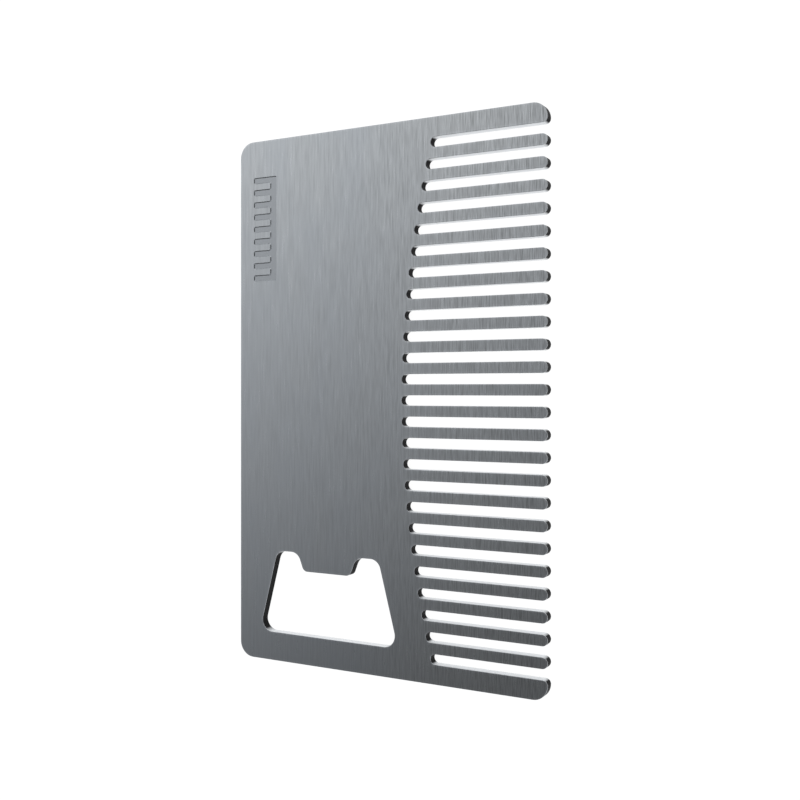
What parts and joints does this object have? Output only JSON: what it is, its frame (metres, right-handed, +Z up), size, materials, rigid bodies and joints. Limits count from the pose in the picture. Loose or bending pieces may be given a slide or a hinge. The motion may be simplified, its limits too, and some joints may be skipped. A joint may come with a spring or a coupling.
{
  "type": "beard comb",
  "caption": "Flat steel beard comb in bank-card format, with a row of round-tipped teeth along one long side and a bottle-opener window near one end.",
  "frame": {"origin": "middle of the plain face's bounding rectangle, with the comb lying on that face", "axes": "+Z up through the sheet from the plain face to the marked one, +X from the spine to the tooth tips, +Y along the row of teeth from the opener's end to the mark's end"},
  "size_m": [0.054, 0.0856, 0.0015],
  "materials": {
    "steel": "brushed along the row of teeth"
  },
  "bodies": {
    "root": {"body_plate": "steel", "tooth_01": "steel", "tooth_02": "steel", "tooth_03": "steel", "tooth_04": "steel", "tooth_05": "steel", "tooth_06": "steel", "tooth_07": "steel", "tooth_08": "steel", "tooth_09": "steel", "tooth_10": "steel", "tooth_11": "steel", "tooth_12": "steel", "tooth_13": "steel", "tooth_14": "steel", "tooth_15": "steel", "tooth_16": "steel", "tooth_17": "steel", "tooth_18": "steel", "tooth_19": "steel", "tooth_20": "steel", "tooth_21": "steel", "tooth_22": "steel", "tooth_23": "steel", "tooth_24": "steel", "tooth_25": "steel", "tooth_26": "steel"}
  },
  "joints": []
}
